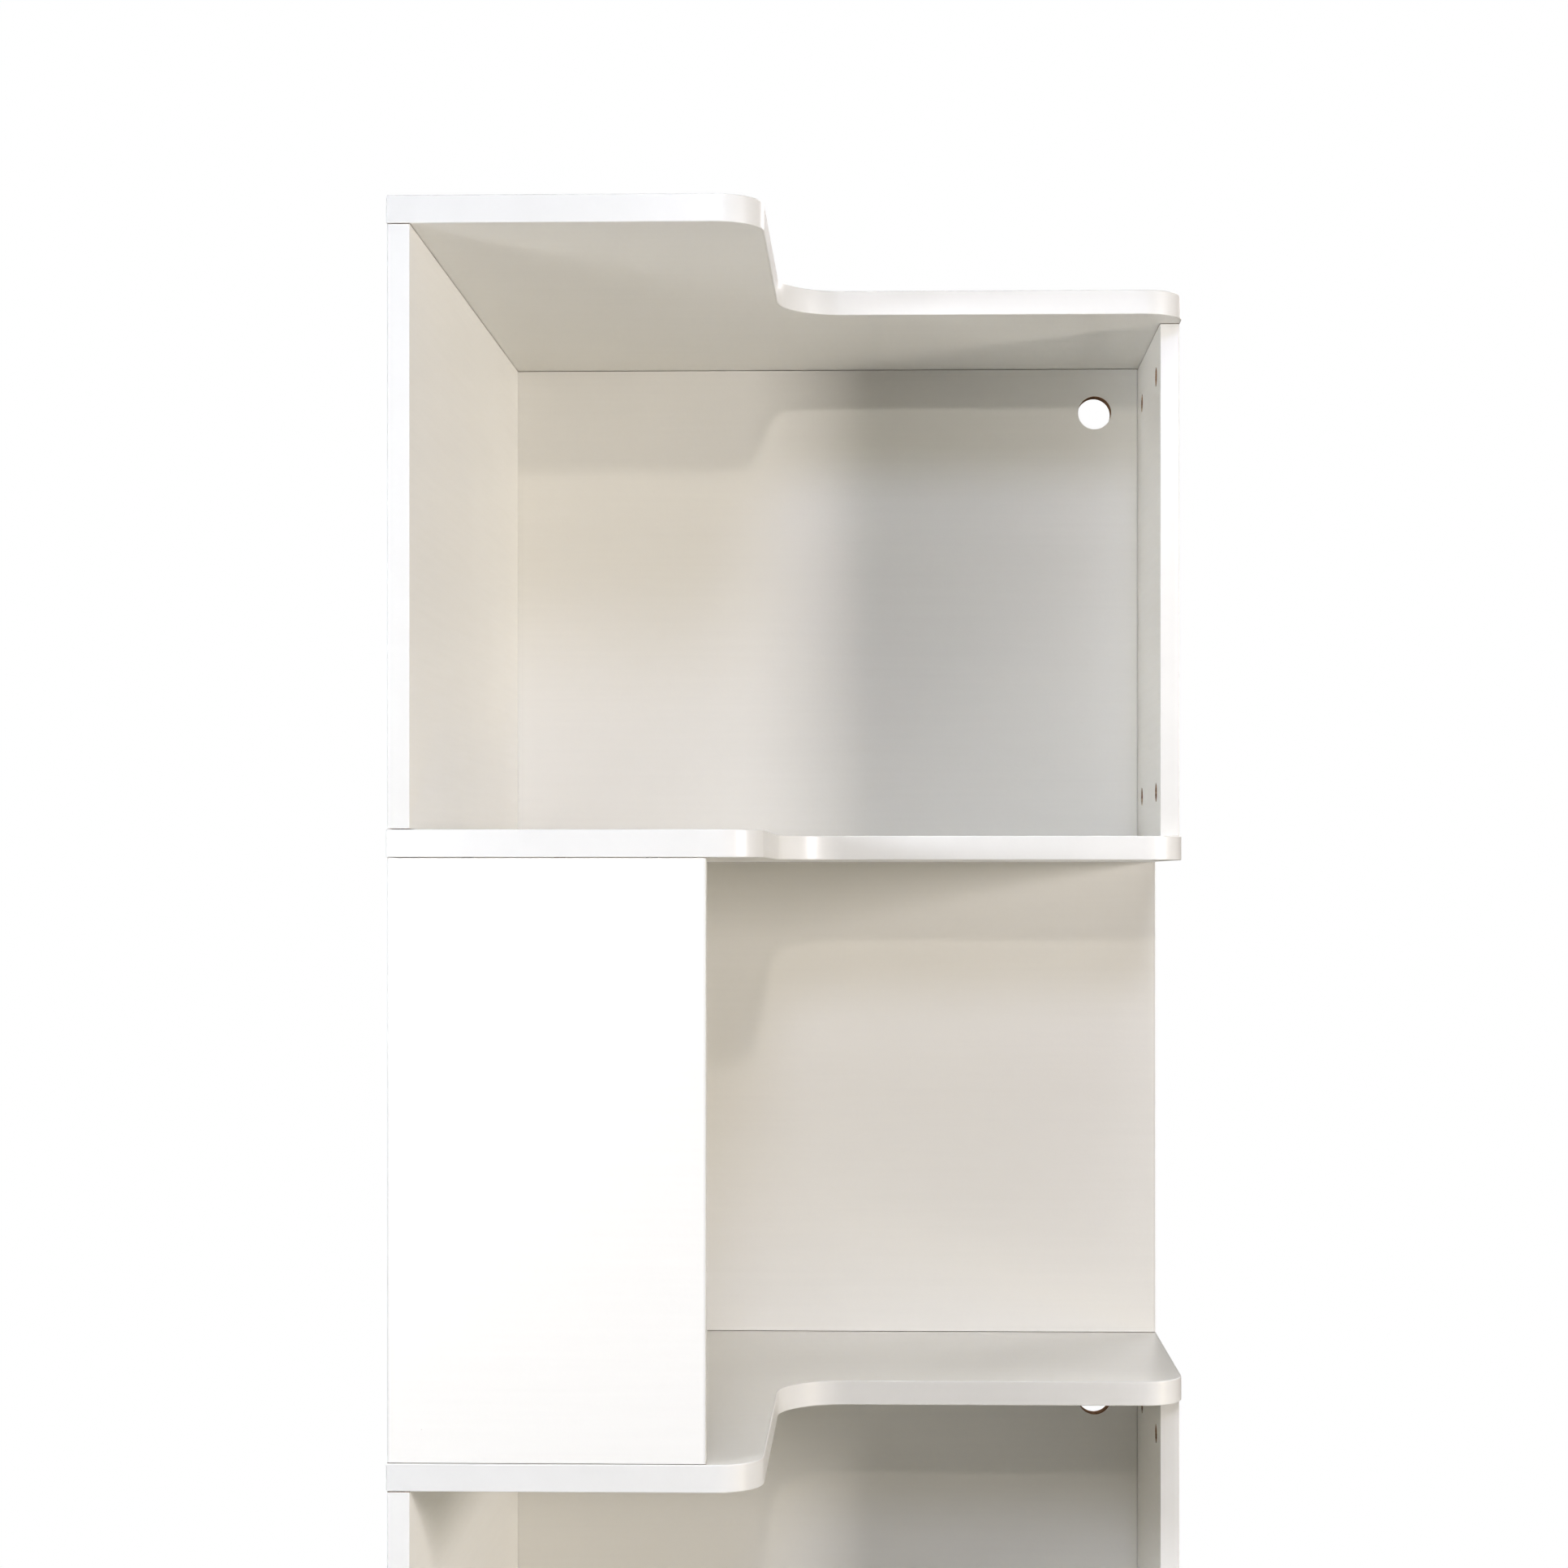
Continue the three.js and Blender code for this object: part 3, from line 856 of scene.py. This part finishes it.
def fluted_dowel(length):
    profile = [
        (DOWEL_RADIUS - DOWEL_CHAMFER, 0),
        (DOWEL_RADIUS, DOWEL_CHAMFER),
        (DOWEL_RADIUS, length - DOWEL_CHAMFER),
        (DOWEL_RADIUS - DOWEL_CHAMFER, length),
    ]
    return turned(profile, DOWEL_STEPS, outline_at=fluted_outline)


def floor_glide():
    """The plastic disc on z = 0, with a well under it for the nail's head."""
    rounded = rounded_profile(GLIDE_ROUNDING)
    profile = [(GLIDE_WELL_RADIUS, GLIDE_WELL_DEPTH), (GLIDE_WELL_RADIUS, 0)]
    profile += [(GLIDE_RADIUS - distance, rise) for distance, rise in reversed(rounded)]
    profile += [(GLIDE_RADIUS, GLIDE_HEIGHT - MOULDED_LIP), (GLIDE_RADIUS - MOULDED_LIP, GLIDE_HEIGHT)]
    return turned(profile, DRUM_STEPS)


def glide_nail(length):
    """The nail's head in the well, and its shank in the shelf above."""
    foot = GLIDE_WELL_DEPTH - NAIL_HEAD_HEIGHT
    head = [
        (NAIL_HEAD_RADIUS - MOULDED_LIP, foot),
        (NAIL_HEAD_RADIUS, foot + MOULDED_LIP),
        (NAIL_HEAD_RADIUS, GLIDE_WELL_DEPTH),
    ]
    shank = [
        (NAIL_RADIUS, GLIDE_HEIGHT),
        (NAIL_RADIUS, GLIDE_HEIGHT + length - 2 * NAIL_RADIUS),
        (NAIL_RADIUS * NAIL_POINT_SHARE, GLIDE_HEIGHT + length),
    ]
    nail = turned(head, TURNED_STEPS, slots=STEEL_SLOT)
    nail.add(turned(shank, TURNED_STEPS, slots=STEEL_SLOT), Matrix.Identity(4))
    return nail


UP = Vector((0, 0, 1))
OUTWARDS = {"x": Vector((-1, 0, 0)), "y": Vector((0, 1, 0))}  # to which side each plane's cam pockets open


def build_fittings(tier):
    plane = "x" if is_odd(tier) else "y"
    seat = DRUM_RECESS + DRUM_HEIGHT
    outwards = OUTWARDS[plane]
    for row, column, point in end_cam_points(tier):
        name = f"cam_fitting_{tier}_{row}_{column}"
        low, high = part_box(name)
        towards = -UP if row == "lower" else UP
        reach = point.z - low.z if row == "lower" else high.z - point.z
        fitting = MeshMaker()
        fitting.add(cam_drum(), standing(point - seat * outwards, outwards, towards))
        bolt = connecting_bolt(reach - CAM_END_DISTANCE)
        axis_point = end_panel_middle(tier, point)
        fitting.add(bolt, standing(axis_point, towards, outwards))
        mesh = fitting.build(name + "_drum_and_bolt", [ZINC])
        add_piece(name + "_drum_and_bolt", mesh, [name])
    for wall, plane in (("left", "x"), ("back", "y")):
        name = f"{wall}_panel_{tier}"
        outwards = OUTWARDS[plane]
        drums = MeshMaker()
        for row, point in wall_cam_points(name, plane):
            towards = -UP if row == "lower" else UP
            drums.add(cam_drum(), standing(point - seat * outwards, outwards, towards))
        add_piece(name + "_cams", drums.build(name + "_cams", [ZINC]))
    for row in ROWS:
        name = f"dowel_{tier}_{row}"
        low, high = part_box(name)
        middle = middle_of(name)
        dowel = MeshMaker()
        dowel.add(fluted_dowel(high.z - low.z), Matrix.Translation((middle.x, middle.y, low.z)))
        add_piece(name + "_fluted", dowel.build(name + "_fluted", [BEECH]), [name])


def build_glides():
    for name in glide_names():
        low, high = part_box(name)
        middle = middle_of(name)
        glide = MeshMaker()
        place = Matrix.Translation((middle.x, middle.y, low.z))
        glide.add(floor_glide(), place)
        glide.add(glide_nail(high.z - low.z - GLIDE_HEIGHT), place)
        mesh = glide.build(name + "_turned", [GLIDE_PLASTIC, ZINC])
        add_piece(name + "_turned", mesh, [name])


for level, shelf_name in enumerate(SHELVES):
    build_shelf(level, shelf_name)
for tier in TIERS:
    build_tier(tier)
    build_fittings(tier)
build_glides()


# ---------------------------------------------------------------- camera, floor and light

CAMERA_RIGHT_OF_LEFT_END = 266.3 * MM
CAMERA_IN_FRONT = 1481 * MM
CAMERA_BELOW_SHELF = 9.9 * MM
CAMERA_TURN_LEFT = math.radians(1.33)
LENS_MM = 64.25
SENSOR_MM = 36
SHIFT_X, SHIFT_Y = -0.0245, 0.0587


def build_camera():
    data = bpy.data.cameras.new("camera")
    data.lens = LENS_MM
    data.sensor_width = SENSOR_MM
    data.shift_x = SHIFT_X
    data.shift_y = SHIFT_Y
    camera = bpy.data.objects.new("camera", data)
    low, _ = cad_bounds
    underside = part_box("shelf_5")[0].z
    camera.location = (
        low[0] + CAMERA_RIGHT_OF_LEFT_END,
        low[1] - CAMERA_IN_FRONT,
        underside - CAMERA_BELOW_SHELF,
    )
    camera.rotation_euler = (math.pi / 2, 0, CAMERA_TURN_LEFT)
    bpy.context.scene.collection.objects.link(camera)
    bpy.context.scene.camera = camera


FLOOR_SIZE = 4.0  # small enough to stay out of the main view


def build_floor():
    half = FLOOR_SIZE / 2
    mesh = bpy.data.meshes.new("floor")
    corners = [(-half, -half, 0), (half, -half, 0), (half, half, 0), (-half, half, 0)]
    mesh.from_pydata(corners, [], [(0, 1, 2, 3)])
    material, shader, node, feed = new_material("pale_floor")
    place = node("ShaderNodeTexCoord").outputs["Object"]
    cloud = noise(node, place, scale=3.0, detail=4.0)
    feed("Base Color", two_tone(node, cloud, *FLOOR_COLOURS))
    shader.inputs["Roughness"].default_value = FLOOR_ROUGHNESS
    mesh.materials.append(material)
    floor = bpy.data.objects.new("floor", mesh)
    bpy.context.scene.collection.objects.link(floor)


LIGHT_TARGET = Vector((0, 0, 1.35))

# Each lamp: degrees to the right of straight ahead, degrees up, metres from the target, width, height
# (a disc where it is None), watts and colour.
# Most numbers of the first seven lamps, AMBIENT_ABOVE, AMBIENT_COLOUR and the melamine's colours started as
# the result of a least-squares fit and were adjusted afterwards. The last three lamps were set one by one.
LAMPS = {
    "front_bulb": (2.5, 16.3, 2.37, 0.060, None, 4.36, (1.07, 1.00, 0.92)),
    "front_high": (3.5, 26.2, 3.85, 0.75, None, 19.9, (0.92, 1.00, 1.29)),
    "key_right": (59.1, 3.6, 2.09, 0.35, 0.41, 24.7, (1.04, 1.00, 1.02)),
    "fill_right": (60.1, -15.6, 3.00, 0.75, None, 6.6, (1.16, 1.00, 0.65)),
    "fill_left": (-38.9, -1.7, 1.30, 0.32, None, 3.1, (1.02, 1.00, 0.99)),
    "side_left": (-44.5, 4.8, 2.60, 0.31, None, 21.6, (0.94, 1.00, 1.14)),
    "overhead": (6.0, 54.0, 3.00, 1.60, None, 17.6, (0.93, 1.00, 1.11)),
    "above": (0.0, 88.0, 3.00, 1.00, None, 18.0, (1.00, 1.00, 1.02)),
    "back_left": (-150.0, 28.0, 3.20, 1.60, None, 26.0, (1.00, 1.00, 1.05)),
    "back_right": (150.0, 28.0, 3.20, 1.60, None, 26.0, (1.00, 1.00, 1.05)),
}


def build_lamps():
    for name, (azimuth, elevation, distance, width, height, power, colour) in LAMPS.items():
        data = bpy.data.lights.new(name, "AREA")
        data.shape = "RECTANGLE" if height else "DISK"
        data.size = width
        data.size_y = height or width
        data.energy = power
        data.color = colour
        lamp = bpy.data.objects.new(name, data)
        turn = math.radians(azimuth)
        rise = math.radians(elevation)
        away = Vector((math.cos(rise) * math.sin(turn), -math.cos(rise) * math.cos(turn), math.sin(rise)))
        lamp.location = LIGHT_TARGET + distance * away
        lamp.rotation_euler = (-away).to_track_quat("-Z", "Y").to_euler()
        bpy.context.scene.collection.objects.link(lamp)


BACKDROP = 1.0  # what the camera sees behind everything
AMBIENT_ABOVE = 0.100
AMBIENT_BELOW = 0.02
HORIZON_BLUR = 0.02  # how far above and below the horizon the ambient light changes
AMBIENT_COLOUR = (1.12, 1.0, 0.70)


def build_world():
    """White behind the object, and a soft ambient light that comes mostly from above."""
    world = bpy.data.worlds.new("studio")
    world.use_nodes = True
    tree = world.node_tree
    tree.nodes.clear()
    output = tree.nodes.new("ShaderNodeOutputWorld")
    mix = tree.nodes.new("ShaderNodeMixShader")
    seen = tree.nodes.new("ShaderNodeBackground")
    ambient = tree.nodes.new("ShaderNodeBackground")
    path = tree.nodes.new("ShaderNodeLightPath")
    place = tree.nodes.new("ShaderNodeTexCoord")
    split = tree.nodes.new("ShaderNodeSeparateXYZ")
    level = tree.nodes.new("ShaderNodeMapRange")
    seen.inputs["Color"].default_value = (1, 1, 1, 1)
    seen.inputs["Strength"].default_value = BACKDROP
    ambient.inputs["Color"].default_value = (*AMBIENT_COLOUR, 1)
    level.inputs["From Min"].default_value = -HORIZON_BLUR
    level.inputs["From Max"].default_value = HORIZON_BLUR
    level.inputs["To Min"].default_value = AMBIENT_BELOW
    level.inputs["To Max"].default_value = AMBIENT_ABOVE
    tree.links.new(place.outputs["Generated"], split.inputs[0])
    tree.links.new(split.outputs["Z"], level.inputs["Value"])
    tree.links.new(level.outputs["Result"], ambient.inputs["Strength"])
    tree.links.new(path.outputs["Is Camera Ray"], mix.inputs["Fac"])
    tree.links.new(ambient.outputs[0], mix.inputs[1])
    tree.links.new(seen.outputs[0], mix.inputs[2])
    tree.links.new(mix.outputs[0], output.inputs["Surface"])
    bpy.context.scene.world = world


VIEW_GAMMA = 0.74  # a bit more contrast than the plain display curve

build_camera()
build_floor()
build_world()
build_lamps()
bpy.context.scene.view_settings.view_transform = "Standard"
bpy.context.scene.view_settings.gamma = VIEW_GAMMA
